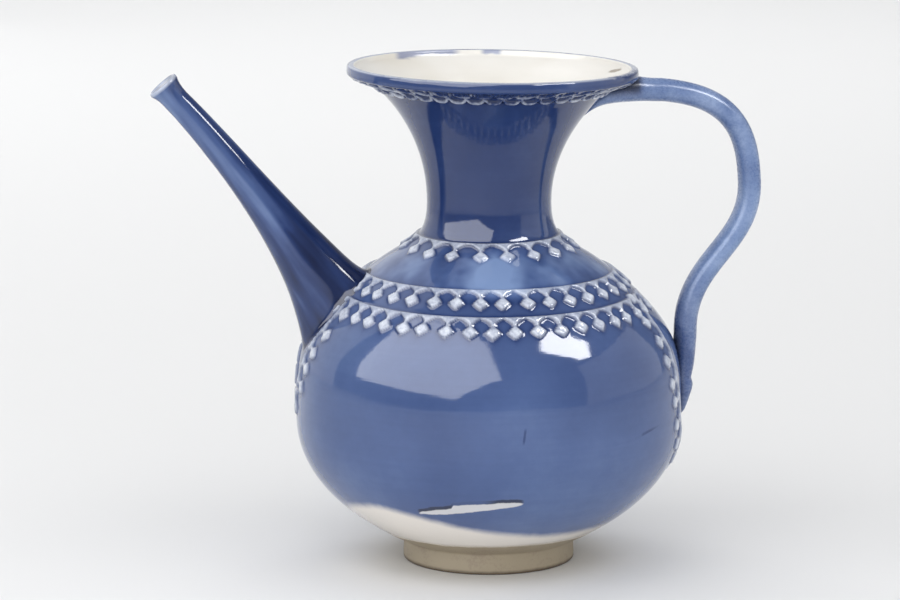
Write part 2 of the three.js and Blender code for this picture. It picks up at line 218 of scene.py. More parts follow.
def on_wall(turn, along, proud=0.0):
    """Points at a turn (radians) and a distance along the wall, lifted off it by proud."""
    height = np.interp(along, fine_along, fine_wall[:, 1])
    out = np.interp(along, fine_along, fine_slope[:, 1])
    up = -np.interp(along, fine_along, fine_slope[:, 0])
    reach = wall_radius(along) + out * proud
    return np.stack([reach * np.cos(turn), reach * np.sin(turn), height + up * proud], -1)


print("Neck is", round(2 * float(wall_radius(along_at(WAIST_HEIGHT))), 1), "mm across")

# %% [markdown]
# The whole profile is one line: from the axis under the foot, round the foot ring, up the wall,
# over the rounded lip and down the inside to the axis again. It is drawn by extruding one vertex
# from point to point, and then spun. The lip is a flat upright band in glaze with soft edges.

# %% Profile
FOOT_RING = 6.5
FOOT_RECESS = 5.0
RECESS_ROUND = 1.2
RING_INNER_ROUND = 0.8
RING_OUTER_ROUND = 0.7
FLOOR = 10.0
FLAT_RADIUS = 14.0
LIP_SEAM = 185.9
LIP_RADIUS = 55.2
LIP_INSIDE = 52.2
LIP_FOOT_ROUND = 0.75
LIP_OUTER_ROUND = 1.1
LIP_INNER_ROUND = 1.0


def arc(centre, radius, start, end, steps):
    """Points of an arc in the profile's plane, between two angles in degrees."""
    angles = np.radians(np.linspace(start, end, steps))
    return [(centre[0] + radius * math.cos(a), centre[1] + radius * math.sin(a)) for a in angles]


ring_inside = FOOT_RADIUS - FOOT_RING
foot_part = [(0.0, FOOT_RECESS), (FLAT_RADIUS, FOOT_RECESS)]
foot_part += arc((ring_inside - RECESS_ROUND, FOOT_RECESS - RECESS_ROUND), RECESS_ROUND, 90, 0, 4)
foot_part += arc((ring_inside + RING_INNER_ROUND, RING_INNER_ROUND), RING_INNER_ROUND, 180, 270, 4)
foot_part += [(FOOT_RADIUS - 3.5, 0.0)]
foot_part += arc((FOOT_RADIUS - RING_OUTER_ROUND, RING_OUTER_ROUND), RING_OUTER_ROUND, 270, 360, 4)
foot_part += [(FOOT_RADIUS, 2.6), (FOOT_RADIUS - 0.1, 5.0), (FOOT_RADIUS - 0.15, 7.2)]
wall_part = [tuple(p) for p in wall_points(1)]
lip_part = [(LIP_RADIUS - 0.6, 186.0)]
lip_part += arc((LIP_RADIUS - 0.7, 186.9), LIP_FOOT_ROUND, -30, 0, 3)
lip_part += [(LIP_RADIUS + 0.1, 187.7), (LIP_RADIUS, 188.6)]
lip_part += arc((LIP_RADIUS - LIP_OUTER_ROUND, RIM_HEIGHT - LIP_OUTER_ROUND), LIP_OUTER_ROUND, 10, 90, 6)
lip_part += arc((LIP_INSIDE + 0.9, RIM_HEIGHT - LIP_INNER_ROUND), LIP_INNER_ROUND, 90, 170, 5)
lip_part += [(LIP_INSIDE - 0.4, 187.6)]
inner_line = np.stack([
    fine_wall[:, 0] - WALL * fine_slope[:, 1],
    fine_wall[:, 1] + WALL * fine_slope[:, 0],
], -1)
# Heights of the rows inside, closest where the wall bends most
inner_heights = [184.5, 181, 176, 170, 163, 155, 147, 139, 131, 124, 117, 110, 102, 93, 83, 72]
inner_heights += [61, 50, 40, 31, 24, 18, 14]
inner_part = [(float(np.interp(h, inner_line[:, 1], inner_line[:, 0])), h) for h in inner_heights]
inner_part += [(26.0, 10.7), (FLAT_RADIUS, FLOOR), (0.0, FLOOR)]
profile = foot_part + wall_part + lip_part + inner_part
print("Profile has", len(profile), "points")

# %% Draw the profile and spin it
COLUMNS = 128
SEAM_GAP = 0.01

bare_start()
bpy.ops.mesh.primitive_plane_add(size=2 * MM, location=(0, 0, 0))
ewer = bpy.context.object
ewer.name = "glazed_ewer"
ewer.data.name = "glazed_ewer"
bpy.ops.object.mode_set(mode="EDIT")
bpy.ops.mesh.select_all(action="SELECT")
bpy.ops.mesh.merge(type="CENTER")
bpy.ops.transform.translate(value=(profile[0][0] * MM, 0, profile[0][1] * MM))
for before, after in zip(profile, profile[1:]):
    step = ((after[0] - before[0]) * MM, 0, (after[1] - before[1]) * MM)
    bpy.ops.mesh.extrude_region_move(TRANSFORM_OT_translate={"value": step})
bpy.ops.mesh.select_all(action="SELECT")
bpy.ops.mesh.spin(steps=COLUMNS, angle=2 * math.pi, center=(0, 0, 0), axis=(0, 0, 1))
bpy.ops.mesh.select_all(action="SELECT")
bpy.ops.mesh.remove_doubles(threshold=SEAM_GAP * MM)
bpy.ops.mesh.normals_make_consistent(inside=False)
bpy.ops.object.mode_set(mode="OBJECT")
print("Turned body has", len(ewer.data.polygons), "faces")

# %% [markdown]
# ## The rows of pendants
# Each pendant is a small funnel under a thin line, with a four-pointed lozenge below it, and two
# tiers of leaves hang under the lip. They were pressed on one by one and then glazed over, which
# rounds them. Separate little meshes would look stuck on. So the wall is made finer where they
# lie, and raised by a height worked out from the distance to the nearest motif, which gives the
# glazed, melted look.
# A row is a list of places: turn, distance along the wall, and the heading of its line.

# %% Level rows
PENDANT_PITCH = 7.9
COLLAR_LINE = along_at(125.7)
COLLAR_COUNT = 19
COLLAR_TURN = math.radians(-9.2)
UPPER_LINE = along_at(111.6)
UPPER_COUNT = 37
UPPER_TURN = math.radians(-3.9)
LOWER_LINE = along_at(104.3)
LOWER_SAG = 1.8
LEAF_COUNT = 42
LEAF_TIPS = (WALL_LENGTH - 5.0, WALL_LENGTH - 10.6)


def level_row(along, count, first_turn):
    """Places at an even pitch right round the pot."""
    turns = first_turn + 2 * math.pi * np.arange(count) / count
    return [(float(t), float(along), 0.0) for t in turns]


collar = level_row(COLLAR_LINE, COLLAR_COUNT, COLLAR_TURN)
upper = level_row(UPPER_LINE, UPPER_COUNT, UPPER_TURN)
print("Collar", len(collar), "upper", len(upper))

# %% [markdown]
# The lower row swags between the spout and the handle, and then drops round the root of each, with
# the pendants turned outwards. A drop is a smooth line through a few shares of its width and
# length. Walking along a fine copy of any line gives places at an even pitch.

# %% Lines of the lower row
LOWER_RADIUS = float(wall_radius(LOWER_LINE))
SWAG_SAMPLES = 200
# Half width and length in mm, then the shares of them that the line runs through
HANDLE_DROP = (23.5, 70.0, [(0.62, 0), (0.97, 0.12), (1, 0.25), (0.97, 0.42), (0.87, 0.6),
                            (0.75, 0.78), (0.42, 0.94), (0, 1)])
SPOUT_DROP = (13.5, 43.0, [(0.78, 0), (1, 0.14), (0.9, 0.33), (0.6, 0.6), (0.3, 0.84), (0, 1)])


def smooth_line(knots, samples=40):
    """A Catmull-Rom line through the knots."""
    knots = np.array(knots, float)
    padded = np.vstack([2 * knots[0] - knots[1], knots, 2 * knots[-1] - knots[-2]])
    t = np.linspace(0, 1, samples, endpoint=False)[:, None]
    pieces = []
    for a, b, c, d in zip(padded, padded[1:], padded[2:], padded[3:]):
        pieces.append(0.5 * (2 * b + (c - a) * t + (2 * a - 5 * b + 4 * c - d) * t ** 2
                             + (3 * b - a - 3 * c + d) * t ** 3))
    return np.vstack(pieces + [knots[-1:]])


def drop_line(middle, half_width, length, shares):
    """A drop's line in turns and distances along the wall, down one side and up the other."""
    left = [(-x * half_width, y * length) for x, y in shares]
    right = [(-x, y) for x, y in reversed(left[:-1])]
    line = smooth_line(left + right)
    return np.stack([middle + line[:, 0] / LOWER_RADIUS, LOWER_LINE - line[:, 1]], -1)


def swag_line(start, end):
    """A swag's line between two turns, lowest at its middle."""
    t = np.linspace(0, 1, SWAG_SAMPLES)
    return np.stack([start + (end - start) * t, LOWER_LINE - LOWER_SAG * 4 * t * (1 - t)], -1)


handle_corner = HANDLE_DROP[2][0][0] * HANDLE_DROP[0] / LOWER_RADIUS
spout_corner = SPOUT_DROP[2][0][0] * SPOUT_DROP[0] / LOWER_RADIUS
front_swag = swag_line(spout_corner - math.pi, -handle_corner)
back_swag = swag_line(handle_corner, math.pi - spout_corner)
handle_drop = drop_line(0.0, *HANDLE_DROP)
spout_drop = drop_line(math.pi, *SPOUT_DROP)
print("Corners of the swags at", round(handle_corner, 3), "and", round(spout_corner, 3), "radians")


# %% Pendants along the lines
def walk(line, spare):
    """Places at the pendants' pitch along a line, without the spare ones at each end."""
    points = on_wall(line[:, 0], line[:, 1])
    run = np.concatenate([[0.0], np.cumsum(np.linalg.norm(np.diff(points, axis=0), axis=1))])
    count = round(run[-1] / PENDANT_PITCH)
    goals = np.arange(spare, count + 1 - spare) / count * run[-1]
    turns = np.interp(goals, run, line[:, 0])
    alongs = np.interp(goals, run, line[:, 1])
    step = PENDANT_PITCH / 4
    across = np.interp(goals + step, run, line[:, 0]) - np.interp(goals - step, run, line[:, 0])
    rise = np.interp(goals + step, run, line[:, 1]) - np.interp(goals - step, run, line[:, 1])
    headings = np.arctan2(rise, across * wall_radius(alongs))
    return list(zip(turns.tolist(), alongs.tolist(), headings.tolist()))


lower = walk(front_swag, 0) + walk(back_swag, 0)
drops = walk(handle_drop, 1) + walk(spout_drop, 1)
print("Lower swags", len(lower), "drops", len(drops))

# %% [markdown]
# Only the wall under the rows needs the finer grid. Faces are picked by their turn and their
# distance along the wall, and subdivided; the new points are then set back on the true curve.

# %% Where the wall needs to be finer
CUTS = 3
NEAR_WALL = 0.6
ROW_MARGIN = 1.6
ROW_REACH = 11.2
LOWER_REACH = 13.2
LEAF_MARGIN = 1.8


def wall_coordinates(places):
    """The turn and the distance along the wall of each place."""
    turn = np.arctan2(places[:, 1], places[:, 0])
    return turn, along_at(places[:, 2])


def outside(places):
    """True for points of the outer wall, between the foot ring and the lip's seam."""
    radius = np.hypot(places[:, 0], places[:, 1])
    along = along_at(places[:, 2])
    near = np.abs(radius - wall_radius(along)) < NEAR_WALL
    return near & (places[:, 2] > FOOT_HEIGHT) & (places[:, 2] < LIP_SEAM)


def near_line(turn, along, line, reach):
    """True within reach of a line on the wall. Every eighth point of the line is enough."""
    close = np.zeros(len(turn), bool)
    for spot_turn, spot_along in line[::8]:
        across = turn_from(turn, spot_turn) * wall_radius(along)
        close |= np.hypot(across, along - spot_along) < reach
    return close


centres = np.empty(len(ewer.data.polygons) * 3)
ewer.data.polygons.foreach_get("center", centres)
centres = centres.reshape(-1, 3) / MM
face_turn, face_along = wall_coordinates(centres)
ornamented = (face_along > COLLAR_LINE - ROW_REACH) & (face_along < COLLAR_LINE + ROW_MARGIN)
ornamented |= (face_along > LOWER_LINE - LOWER_REACH) & (face_along < UPPER_LINE + ROW_MARGIN)
ornamented |= face_along > LEAF_TIPS[1] - LEAF_MARGIN
ornamented |= near_line(face_turn, face_along, handle_drop, ROW_REACH)
ornamented |= near_line(face_turn, face_along, spout_drop, ROW_REACH)
ornamented &= outside(centres)
print("Faces under the rows:", int(ornamented.sum()))

# %% Make the wall finer under the rows
bare_start()
ewer.select_set(True)
bpy.context.view_layer.objects.active = ewer
bpy.ops.object.mode_set(mode="EDIT")
bpy.ops.mesh.select_all(action="DESELECT")
bpy.ops.mesh.select_mode(type="FACE")
edit = bmesh.from_edit_mesh(ewer.data)
edit.faces.ensure_lookup_table()
for index in np.flatnonzero(ornamented):
    edit.faces[index].select_set(True)
bmesh.update_edit_mesh(ewer.data)
bpy.ops.mesh.subdivide(number_cuts=CUTS, smoothness=0)
bpy.ops.object.mode_set(mode="OBJECT")
print("Body now has", len(ewer.data.polygons), "faces")

# %% [markdown]
# The motif is drawn by distances in its own plane: u runs with the line and v hangs from it. A
# negative distance is inside. The lozenge has nearly straight sides, and the funnel above it comes
# down to a thin neck. A leaf is only its raised edge.

# %% Motif as a distance
FAR = 9.0
LINE_HALF = 0.35
LINE_REACH = PENDANT_PITCH * 0.62
FUNNEL_HALF = 3.2
FUNNEL_END = 2.9
FUNNEL_CURVE = 1.5
FUNNEL_OVER_LINE = 0.3
FUNNEL_STEEPNESS = 0.8
NECK_HALF = 1.0
NECK_TAPER = 0.12
LOZENGE_MIDDLE = 6.3
LOZENGE_HALF = 2.75
LOZENGE_BLUNTNESS = 1.15
LOZENGE_STEEPNESS = 1.9


def pendant_distance(u, v):
    """How far a place is from the pendant that hangs at nought."""
    u = np.abs(u)
    line = np.where(u < LINE_REACH, np.abs(v) - LINE_HALF, FAR)
    opening = np.clip(1 - v / FUNNEL_END, 0, 1) ** FUNNEL_CURVE
    half = NECK_HALF + FUNNEL_HALF * opening - NECK_TAPER * v
    ends = np.maximum(v - LOZENGE_MIDDLE, -v - FUNNEL_OVER_LINE)
    funnel = np.maximum((u - half) * FUNNEL_STEEPNESS, ends)
    across = u / LOZENGE_HALF
    down = np.abs(v - LOZENGE_MIDDLE) / LOZENGE_HALF
    star = (across ** LOZENGE_BLUNTNESS + down ** LOZENGE_BLUNTNESS) ** (1 / LOZENGE_BLUNTNESS)
    return np.minimum.reduce([line, funnel, (star - 1) * LOZENGE_STEEPNESS])


print("Pendant is", round(LOZENGE_MIDDLE + LOZENGE_HALF, 1), "mm long")

# %% Leaf as a distance
LEAF_HALF = 3.6
LEAF_RISE = 5.6
LEAF_BLUNTNESS = 4
LEAF_THICKNESS = 0.85
LEAF_THINNING = 0.45
LEAF_OVERLAP = 0.2


def leaf_distance(u, v):
    """How far a place is from the raised edge of a leaf that hangs round end down."""
    share = np.clip(np.abs(u) / LEAF_HALF, 0, 1)
    edge = -LEAF_RISE * share ** LEAF_BLUNTNESS
    steepness = LEAF_RISE * LEAF_BLUNTNESS * share ** (LEAF_BLUNTNESS - 1) / LEAF_HALF
    thickness = LEAF_THICKNESS - LEAF_THINNING * share
    off_edge = np.abs(v - edge) / np.hypot(1, steepness) - thickness
    return np.maximum(off_edge, np.abs(u) - LEAF_HALF - LEAF_OVERLAP)


print("Leaf is", 2 * LEAF_HALF, "mm wide")

# %% [markdown]
# Every fine point of the wall asks each motif near it for its distance and keeps the least. The
# height is that distance eased from nought to full, with a shallow dent in each lozenge. The same
# sums give the first two masks for the glaze: how much a point is relief, most in the lozenges and
# the leaves, and how near it is to the foot of the relief, where glaze pools.

# %% Press the motifs on
PROUD = 0.95
DENT = 0.25
SLOPE_HALF = 0.38
POOL_REACH = 0.8
MOTIF_REACH = 13
# How far a hand strays: aside and down in mm, twist and size as shares. A motif's top stays on
# its line, and it strays fully from the second depth down.
STRAY = (0.16, 0.14, 0.05, 0.035)
STRAY_DEPTHS = (0.5, 4.0)
DENT_SPREAD = 0.9
BUD_POWER = 0.14
LEAF_BUD = 0.8
LEAF_BAND = 0.5
places = points_of(ewer)
on_outer = outside(places)
turn, along = wall_coordinates(places)
least = np.full(len(places), FAR)
dent = np.zeros(len(places))
bud = np.zeros(len(places))
hand = np.random.default_rng(7)


def press(rows, distance):
    """Press a motif on at each place, each a little off true as by hand."""
    for spot_turn, spot_along, heading in rows:
        aside, drop, twist, size = hand.normal(0, STRAY)
        across = turn_from(turn, spot_turn) * wall_radius(along)
        rise = along - spot_along
        close = (np.abs(across) < MOTIF_REACH) & (np.abs(rise) < MOTIF_REACH)
        near = np.flatnonzero(on_outer & close)
        u = across[near] * math.cos(heading) + rise[near] * math.sin(heading)
        v = across[near] * math.sin(heading) - rise[near] * math.cos(heading)
        share = eased(v, *STRAY_DEPTHS)
        u = (u - (aside + twist * v) * share) * (1 + size)
        v = v - drop * share
        least[near] = np.minimum(least[near], distance(u, v))
        if distance is pendant_distance:
            hollow = np.exp(-(u ** 2 + (v - LOZENGE_MIDDLE) ** 2) / DENT_SPREAD)
            dent[near] = np.maximum(dent[near], hollow)
            bud[near] = np.maximum(bud[near], hollow ** BUD_POWER)
        else:
            bud[near] = np.maximum(bud[near], LEAF_BUD * (distance(u, v) < LEAF_BAND))


for rows in (collar, upper, lower, drops):
    press(rows, pendant_distance)
for step, tip in enumerate(LEAF_TIPS):
    press(level_row(tip, LEAF_COUNT, math.pi * (step + 0.4) / LEAF_COUNT), leaf_distance)
print("Motifs pressed on")

# %% Raise the relief
raised = eased(-least, -SLOPE_HALF, SLOPE_HALF) * on_outer
height = PROUD * raised - DENT * dent * on_outer
moved = on_wall(turn, along, height)
places = np.where(on_outer[:, None], moved, places)
pool = np.exp(-np.maximum(least, 0) / POOL_REACH) * (1 - raised) * on_outer
print("Points on relief:", int((raised > 0.5).sum()))

# %% [markdown]
# ## Lip, lean and chips
# The lip has three small old chips, and the mouth is a little out of true. Both are moves of the
# points that are there already.

# %% Lip
# Turn in degrees, half width and depth in mm
CHIPS = [(-128.0, 1.6, 0.45), (-80.0, 1.4, 0.5), (-42.0, 1.8, 0.45)]
CHIP_FOOT = 187.5
CHIP_FROM = 53
CREST = (189.3, 189.95)
CREST_FROM = 50
INSIDE_FLOOR = 9.0
INSIDE_GAP = 1.5
heights = places[:, 2]
radius = np.hypot(places[:, 0], places[:, 1])
inside = (radius < wall_radius(along) - INSIDE_GAP) & (heights > INSIDE_FLOOR) & (heights < LIP_SEAM)
inside |= (heights >= LIP_SEAM) & (radius < LIP_INSIDE + 0.5)
crest = eased(heights, *CREST) * (radius > CREST_FROM)
for chip_turn, chip_half, chip_depth in CHIPS:
    across = turn_from(turn, math.radians(chip_turn)) * LIP_RADIUS
    bite = np.exp(-((across / chip_half) ** 2)) * (radius > CHIP_FROM)
    places[:, 2] -= chip_depth * bite * eased(places[:, 2], CHIP_FOOT, RIM_HEIGHT)
places = leaned(places)
places[:, 0] += AXIS_X
place_points(ewer, places)
print("Rim spans", round(float(places[:, 2].max()), 2), "mm high")


# %% Masks of the body
def keep(piece, masks):
    """Store masks with a mesh, one number for each point."""
    for name, values in masks.items():
        kept = piece.data.attributes.new(name, "FLOAT", "POINT")
        size = len(piece.data.vertices)
        kept.data.foreach_set("value", np.broadcast_to(values, size).astype(np.float32))


# How pale lines and funnels are beside the lozenges
LINE_SHARE = 0.62

body_masks = {"relief": raised * (LINE_SHARE + (1 - LINE_SHARE) * bud), "pool": pool,
              "inside": inside, "crest": crest, "limb": 0.0}
print("Masks of the body:", ", ".join(body_masks))

# %% [markdown]
# ## Spout and handle
# Both are tubes that change in size and melt into the wall at their roots. A tube could be a
# bevelled curve, but a curve can't spread over the wall. So a grid is wrapped round and each of
# its rows is carried to a ring of points. The last rows run out along the wall, as the potter's
# thumb drew the clay out.

# %% Wrapped tubes
POINT_GAP = 0.005


def tube(name, rings):
    """A closed skin over rings of points, the first and last ring drawn together to a point."""
    rings = np.array(rings)
    rows, sides = rings.shape[:2]
    bare_start()
    bpy.ops.mesh.primitive_grid_add(x_subdivisions=sides, y_subdivisions=rows - 1, size=MM)
    piece = bpy.context.object
    piece.name = name
    wrapped = np.concatenate([rings, rings[:, :1]], axis=1)
    place_points(piece, wrapped.reshape(-1, 3))
    bpy.ops.object.mode_set(mode="EDIT")
    bpy.ops.mesh.select_all(action="SELECT")
    bpy.ops.mesh.remove_doubles(threshold=POINT_GAP * MM)
    bpy.ops.mesh.normals_make_consistent(inside=False)
    bpy.ops.object.mode_set(mode="OBJECT")
    print(name, "has", len(piece.data.polygons), "faces")
    return piece


def bezier(knots, t):
    """Points of a cubic Bezier curve, at t from 0 to 1."""
    a, b, c, d = (np.array(k, float) for k in knots)
    t = np.asarray(t, float)[..., None]
    return ((1 - t) ** 3 * a + 3 * (1 - t) ** 2 * t * b + 3 * (1 - t) * t ** 2 * c + t ** 3 * d)


def hermite(start, leave, end, arrive, t):
    """Points between start and end, leaving and arriving by two directions."""
    t = t[..., None]
    return ((2 * t ** 3 - 3 * t ** 2 + 1) * start + (t ** 3 - 2 * t ** 2 + t) * leave
            + (3 * t ** 2 - 2 * t ** 3) * end + (t ** 3 - t ** 2) * arrive)


print("Tube tools ready")

# %% [markdown]
# The spout is drawn by its upper and lower edges as the photograph shows them, with ovals across.
# It turns out at the mouth in a small collar and is hollow.

# %% Spout
SPOUT_UPPER = [(-113.3, 180.5), (-94.1, 161.0), (-66.5, 127.0), (-47.5, 112.3)]
SPOUT_LOWER = [(-120.7, 173.9), (-98.4, 147.8), (-76.4, 115.1), (-70.6, 83.5)]
SPOUT_SIDES = 48
SPOUT_NARROWING = 0.33
SPOUT_TIP = np.array([-123.6, 184.7])
SPOUT_PITCH = math.radians(49.5)
MOUTH_AXIS = np.array([-math.cos(SPOUT_PITCH), math.sin(SPOUT_PITCH)])
MOUTH_ACROSS = np.array([math.sin(SPOUT_PITCH), math.cos(SPOUT_PITCH)])
THROAT_SHARE = 0.015
FREE_SHARE = 0.74
FREE_RINGS = 30

circle = 2 * math.pi * np.arange(SPOUT_SIDES) / SPOUT_SIDES


def oval_ring(centre, across, half, side):
    """An oval of points: half its height along across, and side to each side."""
    ring = np.zeros((SPOUT_SIDES, 3))
    ring[:, 0] = centre[0] + across[0] * half * np.cos(circle)
    ring[:, 1] = side * np.sin(circle)
    ring[:, 2] = centre[1] + across[1] * half * np.cos(circle)
    return ring


def spout_ring(t):
    """The ring across the spout at t, from 0 at the throat to 1 at the root."""
    top = bezier(SPOUT_UPPER, t)
    bottom = bezier(SPOUT_LOWER, t)
    half = np.linalg.norm(top - bottom) / 2
    side = half * (1 - SPOUT_NARROWING * t ** 3)
    return oval_ring((top + bottom) / 2, (top - bottom) / (2 * half), half, side)


# Depth from the mouth and radius: up the bore, over the edge and down the collar
mouth_shape = [(70.0, 0.0), (70.0, 3.0), (66.0, 6.2), (48.0, 6.4), (30.0, 5.4), (12.0, 3.9)]
mouth_shape += [(5.0, 3.8), (1.5, 4.3), (0.3, 4.9), (-0.25, 5.5)]
mouth_shape += [(0.0, 6.05), (0.6, 6.2), (1.4, 6.1), (2.6, 5.6), (4.2, 5.2), (6.0, 5.02), (8.0, 4.98)]
spout_rings = [oval_ring(SPOUT_TIP - MOUTH_AXIS * d, MOUTH_ACROSS, r, r) for d, r in mouth_shape]
spout_rings += [spout_ring(t) for t in np.linspace(THROAT_SHARE, FREE_SHARE, FREE_RINGS)]
print("Spout rings before the root:", len(spout_rings))

# %% Spout root
ROOT_TOP = along_at(113.2)
ROOT_BOTTOM = along_at(82.0)
ROOT_HALF_WIDTH = 12.8
ROOT_TAPER = 2.6
ROOT_RINGS = 15
ROOT_SPREAD = 8.0
ROOT_TOP_SPREAD = 4.0
ROOT_TOP_PULL = 0.5
ROOT_DEPTH = 2.4
NUDGE = 0.01
root_middle = (ROOT_TOP + ROOT_BOTTOM) / 2
root_half = (ROOT_TOP - ROOT_BOTTOM) / 2


def root_ring(grow, proud):
    """The root's outline on the wall: an egg, narrower at its foot."""
    ring_along = root_middle + (root_half + grow) * np.cos(circle)
    half_width = ROOT_HALF_WIDTH + ROOT_TAPER * np.cos(circle) + grow
    ring_turn = math.pi - half_width * np.sin(circle) / wall_radius(ring_along)
    return on_wall(ring_turn, ring_along, proud)


landing = root_ring(0.0, 0.0)
outward = root_ring(0.5, 0.0) - root_ring(-0.5, 0.0)
start = spout_ring(FREE_SHARE)
leave = (spout_ring(FREE_SHARE + NUDGE) - spout_ring(FREE_SHARE - NUDGE)) / (2 * NUDGE)
leave = leave * (1 - FREE_SHARE)
toward_top = np.clip(np.cos(circle), 0, 1)[:, None]
leave = leave * (1 + ROOT_TOP_PULL * toward_top)
arrive = outward * (ROOT_SPREAD + ROOT_TOP_SPREAD * toward_top)
for t in np.linspace(0, 1, ROOT_RINGS)[1:]:
    spout_rings.append(hermite(start, leave, landing, arrive, np.full(SPOUT_SIDES, t)))
spout_rings.append(root_ring(0.6, -0.5))
buried = root_ring(0.0, -ROOT_DEPTH).mean(axis=0) + np.array([1.0, 0, 0])
spout_rings.append(np.tile(buried, (SPOUT_SIDES, 1)))
spout = tube("spout", [ring + AXIS for ring in spout_rings])

# %% [markdown]
# The handle is a strap pulled from a lump of clay: thicker than a ribbon, with rounded edges and
# a faint ridge down its faces. It leaves level from under the lip, bows out and comes back to run
# down the belly, where it is pinched to its end.

# %% Handle line
HANDLE_TOP = [(44.0, 180.0), (88.0, 182.7), (99.0, 170.1), (100.4, 146.4)]
HANDLE_LOW = [(100.4, 146.4), (103.3, 119.0), (75.4, 114.8), (76.2, 85.8)]
HANDLE_SIDES = 32
STRAP_HALF = 4.2
STRAP_SIDE = 6.0
# Under the lip: distance out, lower edge, upper edge, half width
UNDER_LIP = [(36.0, 170.6, 172.4, 4.0), (38.6, 172.6, 176.5, 6.6), (41.4, 174.0, 179.4, 7.6),
             (44.7, 174.9, 182.0, 7.9), (49.5, 175.5, 184.0, 7.7), (53.5, 175.7, 184.8, 7.3),
             (57.0, 175.8, 184.9, 6.9), (59.8, 175.8, 184.5, 6.5), (62.6, 175.7, 184.2, 6.2),
             (66.0, 175.6, 184.1, 6.05)]
# Down the belly: height, inner edge, outer edge, half width
ON_BELLY = [(79.5, 71.6, 80.0, 6.0), (74.0, 71.4, 79.5, 5.8), (70.0, 71.3, 78.8, 5.3),
            (68.2, 71.4, 78.5, 5.1), (66.0, 71.6, 79.1, 5.3), (63.6, 71.8, 78.7, 5.4),
            (60.8, 72.0, 77.8, 5.0), (58.0, 72.4, 76.9, 4.3), (55.8, 72.8, 76.0, 3.3),
            (54.4, 73.0, 75.0, 2.1), (53.7, 73.0, 74.2, 1.0)]
handle_circle = 2 * math.pi * np.arange(HANDLE_SIDES) / HANDLE_SIDES
BOW_START = 0.2
TOP_STATIONS = 30
LOW_STATIONS = 36
bow = np.vstack([bezier(HANDLE_TOP, np.linspace(BOW_START, 1, TOP_STATIONS)[:-1]),
                 bezier(HANDLE_LOW, np.linspace(0, 1, LOW_STATIONS))])
bow_forward = np.gradient(bow, axis=0)
bow_forward /= np.linalg.norm(bow_forward, axis=1)[:, None]
print("Bow of the handle has", len(bow), "stations")


# %% Handle rings
SQUARENESS = 0.86
RIDGE = 0.04
RIDGE_HALF = 0.3
LIP_STATIONS = 26
BELLY_STATIONS = 30


def strap_ring(centre, forward, half, side):
    """A rounded strap's outline, with a soft ridge down the middle of its two faces."""
    cos, sin = np.cos(handle_circle), np.sin(handle_circle)
    out = -half * np.sign(cos) * np.abs(cos) ** SQUARENESS
    out = out - RIDGE * half * np.exp(-(sin / RIDGE_HALF) ** 2) * np.sign(cos)
    ring = np.zeros((HANDLE_SIDES, 3))
    ring[:, 0] = centre[0] + forward[1] * out
    ring[:, 1] = -side * np.sign(sin) * np.abs(sin) ** SQUARENESS
    ring[:, 2] = centre[1] - forward[0] * out
    return ring


def between(stations, count):
    """Stations filled in smoothly between the given ones."""
    line = smooth_line(stations, 8)
    return line[np.linspace(0, len(line) - 1, count).round().astype(int)]


handle_rings = []
for out, low, high, side in between(UNDER_LIP, LIP_STATIONS):
    handle_rings.append(strap_ring((out, (low + high) / 2), (1, 0), (high - low) / 2, side))
for centre, forward in zip(bow, bow_forward):
    handle_rings.append(strap_ring(centre, forward, STRAP_HALF, STRAP_SIDE))
for rise, near, far, side in between(ON_BELLY, BELLY_STATIONS):
    handle_rings.append(strap_ring(((near + far) / 2, rise), (0, -1), (far - near) / 2, side))
handle_rings.insert(0, np.tile(handle_rings[0].mean(axis=0), (HANDLE_SIDES, 1)))
handle_rings.append(np.tile(handle_rings[-1].mean(axis=0), (HANDLE_SIDES, 1)))
handle = tube("handle", [ring + AXIS for ring in handle_rings])

# %% [markdown]
# Glaze runs into the creases where spout and handle meet the wall, and fires darker there. Round the
# handle the same darkening is also painted shade in the crease, and under the lip it is painted shade
# only. So the pool mask also grows near those seams, on the limbs by their distance off the wall, and
# on the wall by the distance from the root's outline. Three more masks are kept with each piece: the
# inside, in cream glaze; the crest, where an edge is worn; and the limb, 0 on the body, near 1 on
# the spout, more on its upper side, and 2 on the handle.

# %% Masks of the limbs
SPOUT_ROOT_HEIGHT = 118
SPOUT_POOL = 0.8
SPOUT_POOL_REACH = 2.2
BORE_RADIUS = 4.6
BORE_DEPTHS = (0.2, 14)
HANDLE_FOOT_HEIGHT = 90
HANDLE_TOP_HEIGHT = 165
# The crease's pooled glaze and painted shade are widest where the handle comes down on the belly
CREVICE_REACH = 0.9
CREVICE_WIDENING = 1.6
# Strength of the painted shade on the handle under the lip
UNDER_LIP_SHADE = 0.95


def off_wall(piece):
    """How far a limb's points stand off the wall, and the points seen from the pot's axis."""
    spots = points_of(piece) - AXIS
    return np.hypot(spots[:, 0], spots[:, 1]) - wall_radius(along_at(spots[:, 2])), spots


spout_off, spout_spots = off_wall(spout)
handle_off, handle_spots = off_wall(handle)
from_tip = SPOUT_TIP - spout_spots[:, [0, 2]]
mouth_depth = from_tip @ MOUTH_AXIS
off_axis = np.hypot(from_tip @ MOUTH_ACROSS, spout_spots[:, 1])
in_bore = (off_axis < BORE_RADIUS) & (mouth_depth > BORE_DEPTHS[0]) & (mouth_depth < BORE_DEPTHS[1])
spout_pool = SPOUT_POOL * np.exp(-np.clip(spout_off, 0, None) / SPOUT_POOL_REACH)
spout_pool *= spout_spots[:, 2] < SPOUT_ROOT_HEIGHT
handle_height = handle_spots[:, 2]
widening = eased(handle_height, 73.0, 84.0) * (handle_height < HANDLE_TOP_HEIGHT)
crevice_reach = CREVICE_REACH + CREVICE_WIDENING * widening
